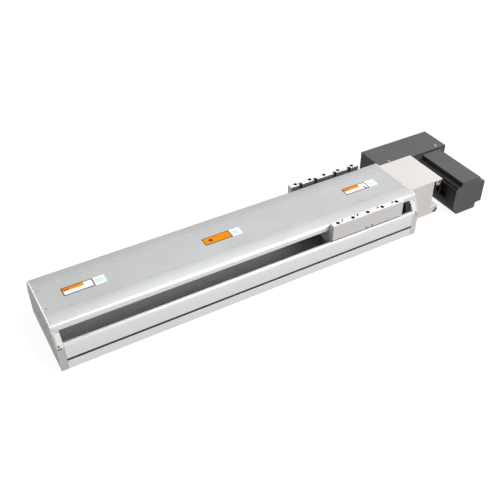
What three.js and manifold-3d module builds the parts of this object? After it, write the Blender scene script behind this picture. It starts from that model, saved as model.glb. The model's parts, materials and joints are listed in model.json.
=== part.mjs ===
// Enclosed belt-driven linear module with a servo motor folded back beside its drive end.
// Millimetres. +X runs along the module towards the drive end, +Z is up, and the origin is the
// centre of the base extrusion's underside.

import * as THREE from 'three';
import { mergeVertices } from 'three/addons/utils/BufferGeometryUtils.js';
import Module from 'manifold-3d';

const wasm = await Module();
wasm.setup();

// Driving dimensions ---------------------------------------------------------------------------

const GAP = 0.3;                 // clearance between pieces that touch
const PAST = 1;                  // how far a cutting tool runs past the face it opens

const BASE_HALF = 85;            // half the base width
const MODULE_HALF = 384.5;       // half the module's length over both end caps
const CAP_THICKNESS = 13;
const CAP_WALL = 2.8;            // the outer part of each cap, as high as the cover between them
const BODY_END = MODULE_HALF - CAP_THICKNESS;

const SIDE_TOP = 52.4;           // where the vertical side turns into the slanted shoulder
const SHOULDER_DY = -0.443;      // direction of the slanted shoulder, going up
const SHOULDER_DZ = 0.8965;
const WALL_TOP = 58.4;           // top of the extrusion's side walls, lower edge of the slot
const WALL_INNER = 77.6;
const LIP_BOTTOM = 78.5;         // lower edge of the cover's lip, upper edge of the slot
const LIP_HALF = 68.4;           // half the width over the cover's lips
const COVER_TOP = 93.4;
const COVER_SKIN = 3;
const COVER_GROOVE_Y = 36.6;
const COVER_END = MODULE_HALF - CAP_WALL - GAP;

const RAIL_Y = 59;
const RAIL_SIZE = 15;
const RAIL_SEAT_Z = 20;
const RAIL_SEAT_DEPTH = 0.6;
const RAIL_BOTTOM = RAIL_SEAT_Z - RAIL_SEAT_DEPTH + GAP;
const RAIL_TOP = RAIL_BOTTOM + RAIL_SIZE;
const BLOCK_TOP = 47.7;
const BLOCK_LENGTH = 56;
const BLOCK_OFFSET = 50;         // guide blocks, either side of the carriage's middle

const CARRIAGE_X = 256.6;        // the carriage's middle at rest
const CARRIAGE_HALF = 85;
const TRAVEL = { min: -482, max: 18 };
const PLATE_TOP = 76.2;
const ARM_TOP = 71;
const WING_INNER = 70.2;
const WING_OUTER = 83;
const WING_TOP = 97;
const WING_BOTTOM = 62;
const WING_SCREW_Y = 72.6;
const WING_SCREW_OFFSETS = [-61, -24.5, 24.5, 61];
const HOLE_PITCH = 35.6;
const HOLE_Y = 77;
const HOLE_RADIUS = 3.4;
const HOLE_DEPTH = 18;
const COUNTERSINK = 0.7;

const TOOTH_PITCH = 5;
const DRIVE_TEETH = 30;
const MOTOR_TEETH = 20;
const BELT_HALF_THICKNESS = 1.2;
const BELT_HALF_WIDTH = 12.5;
const PULLEY_HALF_WIDTH = 13.5;
const SHAFT_RADIUS = 7.4;
const AXLE_RADIUS = 5;
const MOTOR_SHAFT_RADIUS = 7;
const DRIVE_X = 426;
const DRIVE_Z = 58;
const IDLER_X = -340;

const HOUSING = { x0: MODULE_HALF + GAP, x1: 467.6, y0: -56, y1: 50.4, z0: 8.6, z1: COVER_TOP };
const BELT_COVER = { x0: 388.3, x1: 570.5, y0: 50.7, y1: 122, z0: 3, z1: 88.4 };
const BELT_COVER_SKIN = 1.6;
const REDUCER_PLATE = { x0: 390.3, x1: 568.5, y0: 50.8, y1: 62.8, z0: 5, z1: 83.6 };
const REDUCER_Y = { from: 76, to: 94 };
const MOTOR = { x0: 490.5, x1: 570.5, y0: -80, y1: 50.4, z0: 3, z1: 83 };
const MOTOR_X = (MOTOR.x0 + MOTOR.x1) / 2;
const MOTOR_Z = (MOTOR.z0 + MOTOR.z1) / 2;

const SIDES = [[-1, 'front'], [1, 'rear']];
const ENDS = [[-1, 'idler'], [1, 'drive']];

// Socket-head screws by thread size.
const M2 = { head: 1.5, height: 0.9, shank: 0.9, length: 5 };
const M2_5 = { head: 2.2, height: 1.6, shank: 1.2, length: 7 };
const M4 = { head: 3.5, height: 1.8, shank: 1.9, length: 9 };
const M5 = { head: 4.2, height: 4.4, shank: 2.4, length: 12 };

// Finishes -------------------------------------------------------------------------------------

const FINISH = {
  anodised: { color: 0xd3d6d6, roughness: 0.42, metalness: 0.7 },
  machined: { color: 0xd8d2ce, roughness: 0.4, metalness: 0.7 },
  brushed: { color: 0x8d8e90, roughness: 0.45, metalness: 0.8 },
  cream: { color: 0xefece3, roughness: 0.5, metalness: 0 },
  dark: { color: 0x6d6d6d, roughness: 0.55, metalness: 0.2 },
  socket: { color: 0x2b2620, roughness: 0.6, metalness: 0.1 },
  steel: { color: 0xb9bcc0, roughness: 0.25, metalness: 1 },
  blackened: { color: 0x2a2a2c, roughness: 0.4, metalness: 0.8 },
  rubber: { color: 0x1c1c1c, roughness: 0.85, metalness: 0 },
};

// Shape helpers --------------------------------------------------------------------------------

function toSolid(geometry) {
  const bare = geometry.clone();
  bare.deleteAttribute('normal');
  bare.deleteAttribute('uv');
  const merged = mergeVertices(bare, 1e-4);
  return new wasm.Manifold(new wasm.Mesh({
    numProp: 3,
    vertProperties: new Float32Array(merged.attributes.position.array),
    triVerts: new Uint32Array(merged.index.array),
  }));
}

function toGeometry(solid) {
  const mesh = solid.getMesh();
  const geometry = new THREE.BufferGeometry();
  geometry.setAttribute('position', new THREE.BufferAttribute(new Float32Array(mesh.vertProperties), 3));
  geometry.setIndex(new THREE.BufferAttribute(new Uint32Array(mesh.triVerts), 1));
  const flat = geometry.toNonIndexed();
  flat.computeVertexNormals();
  return flat;
}

function cut(geometry, ...tools) {
  const start = toSolid(geometry);
  return toGeometry(tools.reduce((solid, tool) => solid.subtract(toSolid(tool)), start));
}

function join(geometry, ...others) {
  const start = toSolid(geometry);
  return toGeometry(others.reduce((solid, other) => solid.add(toSolid(other)), start));
}

function extrude(points, length, holes = []) {
  const toVectors = (outline) => outline.map(([u, v]) => new THREE.Vector2(u, v));
  const shape = new THREE.Shape(toVectors(points));
  shape.holes = holes.map((hole) => new THREE.Path(toVectors(hole)));
  return new THREE.ExtrudeGeometry(shape, { depth: length, bevelEnabled: false });
}

// A (y, z) outline carried along X between two places, given in either order.
function extrudeX(points, xa, xb, holes) {
  const turn = new THREE.Matrix4().makeBasis(
    new THREE.Vector3(0, 1, 0), new THREE.Vector3(0, 0, 1), new THREE.Vector3(1, 0, 0));
  return extrude(points, Math.abs(xb - xa), holes).applyMatrix4(turn).translate(Math.min(xa, xb), 0, 0);
}

// An (x, z) outline carried along Y from y0 to y1.
function extrudeY(points, y0, y1, holes) {
  return extrude(points, y1 - y0, holes).rotateX(Math.PI / 2).translate(0, y1, 0);
}

// A box between two x, two y and two z, with each pair in either order.
function box(xa, xb, ya, yb, za, zb) {
  return new THREE.BoxGeometry(Math.abs(xb - xa), Math.abs(yb - ya), Math.abs(zb - za))
    .translate((xa + xb) / 2, (ya + yb) / 2, (za + zb) / 2);
}

function boxOf(b) {
  return box(b.x0, b.x1, b.y0, b.y1, b.z0, b.z1);
}

// Round bars along each axis. The first two numbers place the centre line, and the ends of a bar
// are in either order.
function barX(y, z, radius, xa, xb, segments = 16) {
  return new THREE.CylinderGeometry(radius, radius, Math.abs(xb - xa), segments)
    .rotateZ(Math.PI / 2).translate((xa + xb) / 2, y, z);
}

function barY(x, z, radius, ya, yb, segments = 16) {
  return new THREE.CylinderGeometry(radius, radius, Math.abs(yb - ya), segments)
    .translate(x, (ya + yb) / 2, z);
}

function barZ(x, y, radius, za, zb, segments = 16) {
  return new THREE.CylinderGeometry(radius, radius, Math.abs(zb - za), segments)
    .rotateX(Math.PI / 2).translate(x, y, (za + zb) / 2);
}

// A 45 degree countersink for a hole down the Z axis, cut from just above the face at z.
function countersink(x, y, radius, z, depth) {
  return new THREE.CylinderGeometry(radius + depth + PAST, radius, depth + PAST, 16)
    .rotateX(Math.PI / 2).translate(x, y, z + (PAST - depth) / 2);
}

// A whole outline from its +y half, which runs from the centre plane at the bottom, round the side,
// to the centre plane at the top.
function mirrored(half) {
  const other = half.filter(([y]) => y !== 0).map(([y, z]) => [-y, z]).reverse();
  return [...half, ...other];
}

// The same shape on the other side of the XZ plane, with its faces still looking outwards.
function mirroredY(geometry) {
  const copy = geometry.clone().scale(1, -1, 1);
  const { array } = copy.attributes.position;
  for (let start = 0; start < array.length; start += 9) {
    const second = array.slice(start + 3, start + 6);
    array.copyWithin(start + 3, start + 6, start + 9);
    array.set(second, start + 6);
  }
  copy.computeVertexNormals();
  return copy;
}

// A point on the slanted shoulder: so far along it from its foot, and so deep below its surface.
function shoulder(along, depth, side = 1) {
  const y = BASE_HALF + SHOULDER_DY * along - SHOULDER_DZ * depth;
  const z = SIDE_TOP + SHOULDER_DZ * along + SHOULDER_DY * depth;
  return [side * y, z];
}

const group = new THREE.Group();

function add(name, geometry, finish) {
  const mesh = new THREE.Mesh(geometry, new THREE.MeshStandardMaterial(FINISH[finish]));
  mesh.name = name;
  group.add(mesh);
  return mesh;
}

// A socket-head screw with the underside of its head at `seat` and its head pointing along `out`.
const SCREW_LIFT = 0.1;          // stands the head off the face under it
const SOCKET_SHARE = 0.5;        // the socket's radius, as a share of the head's
const SOCKET_FLOOR = 0.4;        // the socket's floor, as a share of the head's height

function addScrew(name, seat, out, size, finish) {
  const { head, height, shank, length } = size;
  const profile = [
    [0, -length], [shank, -length], [shank, 0], [head, 0], [head, height],
    [head * SOCKET_SHARE, height], [head * SOCKET_SHARE, height * SOCKET_FLOOR], [0, height * SOCKET_FLOOR],
  ].map(([radius, along]) => new THREE.Vector2(radius, along));
  const screw = add(name, new THREE.LatheGeometry(profile, 10), finish);
  const direction = new THREE.Vector3(...out).normalize();
  screw.position.set(...seat).addScaledVector(direction, SCREW_LIFT);
  screw.quaternion.setFromUnitVectors(new THREE.Vector3(0, 1, 0), direction);
}

// Base extrusion: a trough with a rail seat inside each wall and a T-slot along each side ---------

const FLOOR_THICKNESS = 8;
const SLOT = { bottom: 19.1, top: 24.3, lip: 1.8, depth: 5.2, flare: 1.9 };
const SEAT_HALF = 8;

function baseOutline() {
  const mouth = BASE_HALF - SLOT.lip;
  const deep = BASE_HALF - SLOT.depth;
  const [slantY] = shoulder((WALL_TOP - SIDE_TOP) / SHOULDER_DZ, 0);
  return mirrored([
    [0, 0], [BASE_HALF - 0.6, 0], [BASE_HALF, 0.6],
    [BASE_HALF, SLOT.bottom], [mouth, SLOT.bottom],
    [mouth, SLOT.bottom - SLOT.flare], [deep, SLOT.bottom - SLOT.flare],
    [deep, SLOT.top + SLOT.flare], [mouth, SLOT.top + SLOT.flare],
    [mouth, SLOT.top], [BASE_HALF, SLOT.top],
    [BASE_HALF, SIDE_TOP], [slantY, WALL_TOP], [WALL_INNER + 0.5, WALL_TOP],
    [WALL_INNER, WALL_TOP - 1], [WALL_INNER, RAIL_SEAT_Z],
    [RAIL_Y + SEAT_HALF, RAIL_SEAT_Z], [RAIL_Y + SEAT_HALF - 0.2, RAIL_SEAT_Z - RAIL_SEAT_DEPTH],
    [RAIL_Y - SEAT_HALF + 0.2, RAIL_SEAT_Z - RAIL_SEAT_DEPTH], [RAIL_Y - SEAT_HALF, RAIL_SEAT_Z],
    [46, RAIL_SEAT_Z], [44, FLOOR_THICKNESS], [0, FLOOR_THICKNESS],
  ]);
}

add('base_extrusion', extrudeX(baseOutline(), GAP - BODY_END, BODY_END - GAP), 'anodised');

// Top cover: flat in the middle, falling gently to a rounded edge and an upright lip --------------

const CREASE_Y = 48.5;           // where the flat top starts to fall
const COVER_EDGE = [[LIP_HALF, 86.2], [67.9, 88], [66.6, 89.6], [64.4, 90.7], [CREASE_Y, COVER_TOP]];
const GROOVE = { half: 0.8, floor: 0.5, depth: 1.3 };
const COVER_SCREW_X = 8.5 - MODULE_HALF;
const COVER_SCREW_Y = 24.4;

function coverOutline() {
  const under = COVER_TOP - COVER_SKIN;
  const inner = LIP_HALF - COVER_SKIN;
  return mirrored([
    [0, under], [CREASE_Y - 1, under], [62.4, 88], [inner, 85.6], [inner, LIP_BOTTOM], [LIP_HALF, LIP_BOTTOM],
    ...COVER_EDGE,
    [COVER_GROOVE_Y + GROOVE.half, COVER_TOP], [COVER_GROOVE_Y + GROOVE.floor, COVER_TOP - GROOVE.depth],
    [COVER_GROOVE_Y - GROOVE.floor, COVER_TOP - GROOVE.depth], [COVER_GROOVE_Y - GROOVE.half, COVER_TOP],
    [0, COVER_TOP],
  ]);
}

function coverScrewHoles(side) {
  const y = side * COVER_SCREW_Y;
  const seat = COVER_TOP - M2_5.height;
  return [
    barZ(COVER_SCREW_X, y, M2_5.head + GAP, seat, COVER_TOP + PAST),
    barZ(COVER_SCREW_X, y, M2_5.shank + GAP, COVER_TOP - 12, seat + PAST),
  ];
}

const coverHoles = SIDES.flatMap(([side]) => coverScrewHoles(side));
add('top_cover', cut(extrudeX(coverOutline(), -COVER_END, COVER_END), ...coverHoles), 'anodised');
for (const [side, name] of SIDES) {
  const seat = [COVER_SCREW_X, side * COVER_SCREW_Y, COVER_TOP - M2_5.height];
  addScrew(`${name}_cover_screw`, seat, [0, 0, 1], M2_5, 'steel');
}

// End caps, with a pocket in each shoulder for a slot plate ---------------------------------------

const POCKET = { depth: 3.3, from: 0.3, to: 34 };
const SLOT_PLATE = { depth: 3, from: 0.6, to: 26.5 };
const SLOT_PLATE_SCREW = { along: 4.6, inboard: 2.4 };
const FOOT_NOTCH = { from: 1.8, to: 8.4, depth: 7, below: 4.6, above: 1 };
const TENSION_SCREW = { y: 17, z: 48, recess: 5 };
const BELT_PASSAGE = { half: 16, bottom: 29.5, top: 86.5 };

function capOutline() {
  const under = COVER_TOP - COVER_SKIN - GAP;
  const ledge = LIP_BOTTOM - GAP;
  const inner = LIP_HALF - COVER_SKIN - GAP;
  const [ledgeY] = shoulder((ledge - SIDE_TOP) / SHOULDER_DZ, 0);
  return mirrored([
    [0, 0], [BASE_HALF, 0], [BASE_HALF, SIDE_TOP], [ledgeY, ledge],
    [inner, ledge], [inner, 85.4], [62.3, 87.7], [CREASE_Y - 1.1, under], [0, under],
  ]);
}

// A cap's outer wall: the outline of the base and the cover together.
function wallOutline() {
  const ledge = LIP_BOTTOM - GAP;
  const [ledgeY] = shoulder((ledge - SIDE_TOP) / SHOULDER_DZ, 0);
  return mirrored([
    [0, 0], [BASE_HALF, 0], [BASE_HALF, SIDE_TOP], [ledgeY, ledge], [LIP_HALF, ledge],
    ...COVER_EDGE, [0, COVER_TOP],
  ]);
}

// A bar of four-sided section lying in the shoulder, between two depths below its surface.
function shoulderBar(side, { from, to, depth }, above, xa, xb) {
  const corners = [
    shoulder(from, -above, side), shoulder(to, -above, side),
    shoulder(to, depth, side), shoulder(from, depth, side),
  ];
  return extrudeX(side > 0 ? corners : corners.reverse(), xa, xb);
}

function shoulderOut(side) {
  return [0, side * SHOULDER_DZ, -SHOULDER_DY];
}

// A hole square to the shoulder for a slot plate's screw.
function slotPlateScrewHole(side, x) {
  const [y, z] = shoulder(SLOT_PLATE_SCREW.along, 0, side);
  const turn = new THREE.Quaternion()
    .setFromUnitVectors(new THREE.Vector3(0, 1, 0), new THREE.Vector3(...shoulderOut(side)));
  return new THREE.CylinderGeometry(M2.shank + GAP, M2.shank + GAP, 14, 12)
    .applyQuaternion(turn).translate(x, y, z);
}

function capTools(end) {
  const outer = end * MODULE_HALF;
  const inner = end * BODY_END;
  const wall = outer - end * CAP_WALL;
  const tools = [];
  for (const [side] of SIDES) {
    const notchY = side * BASE_HALF;
    tools.push(shoulderBar(side, POCKET, 4, wall, inner - end * PAST));
    tools.push(slotPlateScrewHole(side, wall - end * SLOT_PLATE_SCREW.inboard));
    tools.push(box(
      outer - end * FOOT_NOTCH.from, outer - end * FOOT_NOTCH.to,
      notchY - FOOT_NOTCH.depth, notchY + FOOT_NOTCH.depth,
      SIDE_TOP - FOOT_NOTCH.below, SIDE_TOP + FOOT_NOTCH.above));
  }
  if (end > 0) {
    const { half, bottom, top } = BELT_PASSAGE;
    return [...tools, box(inner - PAST, outer + PAST, -half, half, bottom, top)];
  }
  for (const [side] of SIDES) {
    const y = side * TENSION_SCREW.y;
    tools.push(barX(y, TENSION_SCREW.z, M5.head + GAP, outer - PAST, outer + TENSION_SCREW.recess));
    tools.push(barX(y, TENSION_SCREW.z, M5.shank + GAP, outer, inner + PAST));
    tools.push(barZ(COVER_SCREW_X, side * COVER_SCREW_Y, M2_5.shank + GAP, COVER_TOP - 12, COVER_TOP));
  }
  return tools;
}

for (const [end, endName] of ENDS) {
  const outer = end * MODULE_HALF;
  const inner = end * BODY_END;
  const wall = outer - end * CAP_WALL;
  const screwX = wall - end * SLOT_PLATE_SCREW.inboard;
  const whole = join(extrudeX(capOutline(), outer, inner), extrudeX(wallOutline(), outer, wall));
  const cap = cut(whole, ...capTools(end));
  add(`${endName}_end_cap`, cap, end < 0 ? 'brushed' : 'machined');
  for (const [side, sideName] of SIDES) {
    const plate = shoulderBar(side, SLOT_PLATE, 0, wall - end * GAP, inner + end * 0.1);
    add(`${sideName}_${endName}_slot_plate`, cut(plate, slotPlateScrewHole(side, screwX)), 'cream');
  }
  const screwSeat = shoulder(SLOT_PLATE_SCREW.along, 0, -1);
  addScrew(`front_${endName}_slot_plate_screw`, [screwX, ...screwSeat], shoulderOut(-1), M2, 'blackened');
}

// Guide rails and rubber end stops. At the idler end a guide block strikes the stop beside the front
// rail, and at the drive end the carriage plate strikes the one on the end cap ----------------------

const RAIL_END = BODY_END - 4;
const RAIL_WAIST = 1.6;          // how far the rail's waist is cut in on each side
const STOP = { inner: 67.2, outer: 76.4, top: 45, chamfer: 1.5, length: 14 };
const BUFFER = { inner: 34, outer: 76.8, bottom: 37, bend: 57, tip: 70.5, top: 76.5 };

function railOutline(centre) {
  const half = RAIL_SIZE / 2;
  const waist = half - RAIL_WAIST;
  const right = [
    [half, RAIL_BOTTOM], [half, RAIL_BOTTOM + 6], [waist, RAIL_BOTTOM + 8], [waist, RAIL_TOP - 4],
    [half, RAIL_TOP - 2.6], [half, RAIL_TOP - 0.5], [half - 0.5, RAIL_TOP],
  ];
  return mirrored(right).map(([y, z]) => [y + centre, z]);
}

function bufferOutline() {
  const { inner, outer, bottom, bend, tip, top } = BUFFER;
  return [[-outer, bottom], [-inner, bottom], [-inner, top], [-tip, top], [-outer, bend]];
}

function stopOutline() {
  const { inner, outer, top, chamfer } = STOP;
  return [
    [-outer, RAIL_SEAT_Z + GAP], [-inner, RAIL_SEAT_Z + GAP], [-inner, top - chamfer],
    [-inner - chamfer, top], [-outer + chamfer, top], [-outer, top - chamfer],
  ];
}

for (const [side, name] of SIDES) {
  add(`${name}_guide_rail`, extrudeX(railOutline(side * RAIL_Y), -RAIL_END, RAIL_END), 'steel');
}
const idlerStopFace = CARRIAGE_X + TRAVEL.min - BLOCK_OFFSET - BLOCK_LENGTH / 2 - GAP;
const driveStopFace = CARRIAGE_X + TRAVEL.max + CARRIAGE_HALF + GAP;
add('idler_end_stop', extrudeX(stopOutline(), idlerStopFace - STOP.length, idlerStopFace), 'rubber');
add('drive_end_stop', extrudeX(bufferOutline(), driveStopFace, BODY_END - GAP), 'rubber');

// Carriage: a plate on four guide blocks, and a wing outside the cover on each side ----------------

const BLOCK = { half: 17, bottom: 25, chamfer: 1, clearance: 0.5 };
const BRIDGE = { half: 37, edge: 41, under: 60 };    // the raised middle that clears the belt
const ARM = { foot: 75.5, lip: 78, neck: 69.5 };
const WING_SEAT = ARM_TOP + GAP;
const WING_STEP = 78.3;          // the wing's outer skin hangs down over the plate's arm
const HEAD_SEAT = 76.2;
const DOWEL = { radius: 2, depth: 3, z: WING_BOTTOM + 3, offsets: [-4, 10] };

// An inverted U over a rail.
function blockOutline(centre) {
  const { half, bottom, chamfer, clearance } = BLOCK;
  const clear = RAIL_SIZE / 2 + clearance;
  const roof = RAIL_TOP + clearance;
  const right = [
    [clear, roof], [clear, bottom], [half, bottom], [half, BLOCK_TOP - chamfer], [half - chamfer, BLOCK_TOP],
  ];
  return mirrored(right).map(([y, z]) => [y + centre, z]);
}

function platePoints() {
  const under = BLOCK_TOP + GAP;
  return mirrored([
    [0, BRIDGE.under], [BRIDGE.half, BRIDGE.under], [BRIDGE.edge, under], [ARM.foot, under],
    [ARM.foot, WING_BOTTOM - 1.5], [ARM.lip, WING_BOTTOM], [ARM.lip, ARM_TOP],
    [ARM.neck, ARM_TOP], [ARM.neck, PLATE_TOP], [0, PLATE_TOP],
  ]);
}

function carriagePlate() {
  const holes = SIDES.flatMap(([side]) => WING_SCREW_OFFSETS.map((offset) =>
    barZ(CARRIAGE_X + offset, side * WING_SCREW_Y, M5.shank + GAP, 55, 80, 10)));
  return cut(extrudeX(platePoints(), CARRIAGE_X - CARRIAGE_HALF, CARRIAGE_X + CARRIAGE_HALF), ...holes);
}

function rearWing() {
  const outline = [
    [WING_INNER, WING_SEAT], [WING_STEP, WING_SEAT], [WING_STEP, WING_BOTTOM], [WING_OUTER, WING_BOTTOM],
    [WING_OUTER, WING_TOP - 0.6], [WING_OUTER - 0.6, WING_TOP],
    [WING_INNER + 0.6, WING_TOP], [WING_INNER, WING_TOP - 0.6],
  ];
  const tools = [];
  for (let n = -2; n <= 2; n += 1) {
    const x = CARRIAGE_X + n * HOLE_PITCH;
    tools.push(barZ(x, HOLE_Y, HOLE_RADIUS, WING_TOP - HOLE_DEPTH, WING_TOP + PAST));
    tools.push(countersink(x, HOLE_Y, HOLE_RADIUS, WING_TOP, COUNTERSINK));
  }
  for (const offset of WING_SCREW_OFFSETS) {
    const x = CARRIAGE_X + offset;
    tools.push(barZ(x, WING_SCREW_Y, M5.head + GAP, HEAD_SEAT, WING_TOP + PAST));
    tools.push(barZ(x, WING_SCREW_Y, M5.shank + GAP, WING_BOTTOM, HEAD_SEAT + PAST, 10));
  }
  for (const offset of DOWEL.offsets) {
    const x = CARRIAGE_X + offset;
    tools.push(barY(x, DOWEL.z, DOWEL.radius, WING_OUTER - DOWEL.depth, WING_OUTER + PAST, 8));
  }
  return cut(extrudeX(outline, CARRIAGE_X - CARRIAGE_HALF, CARRIAGE_X + CARRIAGE_HALF), ...tools);
}

add('carriage_plate', carriagePlate(), 'machined');
for (const [side, name] of SIDES) {
  for (const [end, endName] of ENDS) {
    const middle = CARRIAGE_X + end * BLOCK_OFFSET;
    const block = extrudeX(blockOutline(side * RAIL_Y), middle - BLOCK_LENGTH / 2, middle + BLOCK_LENGTH / 2);
    add(`${name}_${endName}_guide_block`, block, 'steel');
  }
  add(`${name}_wing`, side > 0 ? rearWing() : mirroredY(rearWing()), 'machined');
  WING_SCREW_OFFSETS.forEach((offset, n) => {
    const seat = [CARRIAGE_X + offset, side * WING_SCREW_Y, HEAD_SEAT];
    addScrew(`${name}_wing_screw_${n + 1}`, seat, [0, 0, 1], M5, 'blackened');
  });
}

// Toothed belts and pulleys ------------------------------------------------------------------------

const STEPS_PER_TURN = 48;
const TOOTH_HEIGHT = 1.6;
const TOOTH_CLEARANCE = 0.4;     // between a pulley's teeth and the smooth belt round it
const TOOTH_CORNERS = [[0, 0], [0.42, 0], [0.56, 1], [0.86, 1]];    // share of a pitch, share of a height

function pitchRadius(teeth) {
  return (teeth * TOOTH_PITCH) / (2 * Math.PI);
}

const driveWheel = { x: DRIVE_X, z: DRIVE_Z, r: pitchRadius(DRIVE_TEETH) };
const idlerWheel = { x: IDLER_X, z: DRIVE_Z, r: pitchRadius(DRIVE_TEETH) };
const motorWheel = { x: MOTOR_X, z: MOTOR_Z, r: pitchRadius(MOTOR_TEETH) };

// The (x, z) outline of a belt laid round two wheels, so far outside their pitch circles.
function beltOutline(a, b, offset) {
  const distance = Math.hypot(b.x - a.x, b.z - a.z);
  const heading = Math.atan2(b.z - a.z, b.x - a.x);
  const lean = Math.acos((a.r - b.r) / distance);
  const arc = (wheel, from, to) => {
    const steps = Math.max(4, Math.round(((to - from) / (2 * Math.PI)) * STEPS_PER_TURN));
    return Array.from({ length: steps + 1 }, (_, i) => {
      const angle = from + ((to - from) * i) / steps;
      const radius = wheel.r + offset;
      return [wheel.x + radius * Math.cos(angle), wheel.z + radius * Math.sin(angle)];
    });
  };
  return [
    ...arc(a, heading + lean, heading + 2 * Math.PI - lean),
    ...arc(b, heading - lean, heading + lean),
  ];
}

function belt(a, b, y0, y1) {
  const outside = beltOutline(a, b, BELT_HALF_THICKNESS);
  const inside = beltOutline(a, b, -BELT_HALF_THICKNESS);
  return extrudeY(outside, y0, y1, [inside]);
}

// A toothed pulley on the Y axis with a plain bore.
function pulley(wheel, teeth, y0, y1, bore) {
  const tip = wheel.r - BELT_HALF_THICKNESS - TOOTH_CLEARANCE;
  const points = [];
  for (let n = 0; n < teeth; n += 1) {
    for (const [share, depth] of TOOTH_CORNERS) {
      const angle = ((n + share) / teeth) * 2 * Math.PI;
      const radius = tip - depth * TOOTH_HEIGHT;
      points.push([wheel.x + radius * Math.cos(angle), wheel.z + radius * Math.sin(angle)]);
    }
  }
  return cut(extrudeY(points, y0, y1), barY(wheel.x, wheel.z, bore, y0 - PAST, y1 + PAST, 20));
}

function mainPulley(wheel, bore) {
  return pulley(wheel, DRIVE_TEETH, -PULLEY_HALF_WIDTH, PULLEY_HALF_WIDTH, bore);
}

add('drive_belt', belt(idlerWheel, driveWheel, -BELT_HALF_WIDTH, BELT_HALF_WIDTH), 'rubber');
add('drive_pulley', mainPulley(driveWheel, SHAFT_RADIUS + GAP), 'steel');
add('idler_pulley', mainPulley(idlerWheel, AXLE_RADIUS + GAP), 'steel');

// Idler yoke: carries the idler's axle, and the two tension screws draw it towards the end cap -----

const YOKE = { half: 24, bottom: 43, top: 73, past: 12, wall: 5 };
const AXLE_HALF = 23;

function idlerYoke() {
  const back = GAP - BODY_END;
  const body = box(back, IDLER_X + YOKE.past, -YOKE.half, YOKE.half, YOKE.bottom, YOKE.top);
  const room = PULLEY_HALF_WIDTH + 1;
  const tools = SIDES.map(([side]) => barX(
    side * TENSION_SCREW.y, TENSION_SCREW.z, M5.shank + GAP, back - PAST, back + 14, 10));
  tools.push(box(back + YOKE.wall, IDLER_X + 20, -room, room, YOKE.bottom - 20, YOKE.top + 20));
  tools.push(barY(IDLER_X, DRIVE_Z, AXLE_RADIUS + GAP, -30, 30));
  return cut(body, ...tools);
}

add('idler_axle', barY(IDLER_X, DRIVE_Z, AXLE_RADIUS, -AXLE_HALF, AXLE_HALF), 'steel');
add('idler_yoke', idlerYoke(), 'machined');
for (const [side, name] of SIDES) {
  const seat = [TENSION_SCREW.recess - MODULE_HALF, side * TENSION_SCREW.y, TENSION_SCREW.z];
  addScrew(`${name}_tension_screw`, seat, [-1, 0, 0], { ...M5, length: 20 }, 'blackened');
}

// Belt clamp: holds the upper run of the drive belt to the carriage plate --------------------------

const CLAMP = { half: 20, length: 60, top: 87.5, slack: 0.5 };

function beltClamp() {
  const strand = DRIVE_Z + driveWheel.r;
  const half = BELT_HALF_WIDTH + CLAMP.slack;
  const room = BELT_HALF_THICKNESS + CLAMP.slack;
  const hole = [[-half, strand - room], [half, strand - room], [half, strand + room], [-half, strand + room]];
  const under = PLATE_TOP + GAP;
  const outline = [
    [-CLAMP.half, under], [CLAMP.half, under], [CLAMP.half, CLAMP.top], [-CLAMP.half, CLAMP.top],
  ];
  return extrudeX(outline, CARRIAGE_X - CLAMP.length / 2, CARRIAGE_X + CLAMP.length / 2, [hole]);
}

add('belt_clamp', beltClamp(), 'machined');

// Drive housing: the pulley's chamber, two bearing seats, and a hollowed front right corner with a
// screw at its top and at its foot ------------------------------------------------------------------

const BEARING = { outer: 17.5, inner: 7.7, width: 11, from: PULLEY_HALF_WIDTH + 4.5 };
const CHAMBER = { past: 29, half: PULLEY_HALF_WIDTH + 3, bottom: 30, top: 86.5 };
const RELIEF = { radius: 21, bottom: 25, top: 91 };
const BOSS_RADIUS = 6;
const EAR_RECESS = 6.5;
const EAR_SCREW_LENGTH = 30;
const EAR_SCREWS = [
  { name: 'upper_housing_screw', x: 457.5, z: 85.8, recess: M5.head + 1 },
  { name: 'lower_housing_screw', x: 460, z: 15.6, recess: M5.head + 1.8 },
];

function driveHousing() {
  const seatY = HOUSING.y0 + EAR_RECESS;
  const [upper] = EAR_SCREWS;
  const corner = barZ(HOUSING.x1, HOUSING.y0, RELIEF.radius, RELIEF.bottom, RELIEF.top, 40);
  const boss = barY(upper.x, upper.z, BOSS_RADIUS, HOUSING.y0 - PAST, 0, 24);
  const tools = [
    box(HOUSING.x0 - PAST, DRIVE_X + CHAMBER.past, -CHAMBER.half, CHAMBER.half, CHAMBER.bottom, CHAMBER.top),
    barY(DRIVE_X, DRIVE_Z, SHAFT_RADIUS + 2, -BEARING.from - BEARING.width - 4, HOUSING.y1 + PAST, 20),
    cut(corner, boss),
  ];
  for (const [side] of SIDES) {
    const near = side * (BEARING.from - 2);
    const far = side * (BEARING.from + BEARING.width);
    tools.push(barY(DRIVE_X, DRIVE_Z, BEARING.outer + GAP, near, far, 32));
  }
  for (const { x, z, recess } of EAR_SCREWS) {
    tools.push(barY(x, z, recess, HOUSING.y0 - PAST, seatY));
    tools.push(barY(x, z, M5.shank + GAP, HOUSING.y0, seatY + EAR_SCREW_LENGTH + 1, 10));
  }
  return cut(boxOf(HOUSING), ...tools);
}

function bearing(y0) {
  const { outer, inner, width } = BEARING;
  const section = [[inner, 0], [outer, 0], [outer, width], [inner, width], [inner, 0]];
  const profile = section.map(([radius, y]) => new THREE.Vector2(radius, y));
  return new THREE.LatheGeometry(profile, 24).translate(DRIVE_X, y0, DRIVE_Z);
}

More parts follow.
